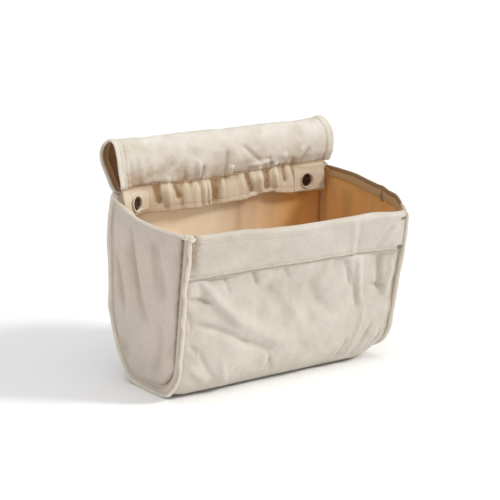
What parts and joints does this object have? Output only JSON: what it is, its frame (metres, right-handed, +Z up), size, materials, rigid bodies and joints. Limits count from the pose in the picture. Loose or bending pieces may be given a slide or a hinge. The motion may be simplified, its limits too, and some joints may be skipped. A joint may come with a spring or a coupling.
{
  "type": "canvas tool bag",
  "caption": "Open canvas tool bag with a belt tunnel along its back, a hanging lip with pin eyelets, bound outside seams and a doubled front band.",
  "frame": {"origin": "on the floor under the bag, at mid width and at the middle of the mouth's depth", "axes": "+X to the right seen from the front, along the belt tunnel; +Y to the back, where the tunnel and the wearer are; +Z up"},
  "size_m": [0.254, 0.1506, 0.2318],
  "materials": {
    "canvas": "unbleached cotton duck, plain weave, matte",
    "end_canvas": "unbleached cotton duck, plain weave, matte, softly folded",
    "seam_tape": "cotton twill tape and folded canvas edges, matte",
    "thread": "heavy cotton thread, matte",
    "tack_thread": "dark waxed thread, dense bar tacks",
    "liner_canvas": "unbleached cotton duck, matte"
  },
  "bodies": {
    "bag": {"body_sheet": "canvas", "left_end_panel": "end_canvas", "right_end_panel": "end_canvas", "left_seam_binding": "seam_tape", "right_seam_binding": "seam_tape", "left_seam_thread": "thread", "right_seam_thread": "thread", "left_rim_hem": "seam_tape", "right_rim_hem": "seam_tape", "left_rim_thread": "thread", "right_rim_thread": "thread", "front_band": "canvas", "front_band_thread": "thread", "bottom_liner": "liner_canvas", "tunnel_seam_thread": "thread", "rim_left_tack": "tack_thread", "rim_right_tack": "tack_thread", "band_left_tack": "tack_thread", "band_right_tack": "tack_thread"},
    "tunnel": {"tunnel_loop": "canvas", "tunnel_left_hem": "seam_tape", "tunnel_right_hem": "seam_tape", "tunnel_left_thread": "thread", "tunnel_right_thread": "thread"},
    "lip": {"lip_sheet": "canvas", "left_pin_patch": "canvas", "right_pin_patch": "canvas", "left_pin_eyelet": "seam_tape", "right_pin_eyelet": "seam_tape", "lip_hem_thread": "thread"}
  },
  "joints": [
    {"name": "tunnel_fold", "type": "hinge", "parent": "bag", "child": "tunnel", "pos_m": [0, 0.0565, 0.1845], "axis": [1, 0, 0], "range_deg": [-75, 45]},
    {"name": "lip_swing", "type": "hinge", "parent": "bag", "child": "lip", "pos_m": [0, 0.0565, 0.1845], "axis": [-1, 0, 0], "range_deg": [-5, 55]}
  ]
}
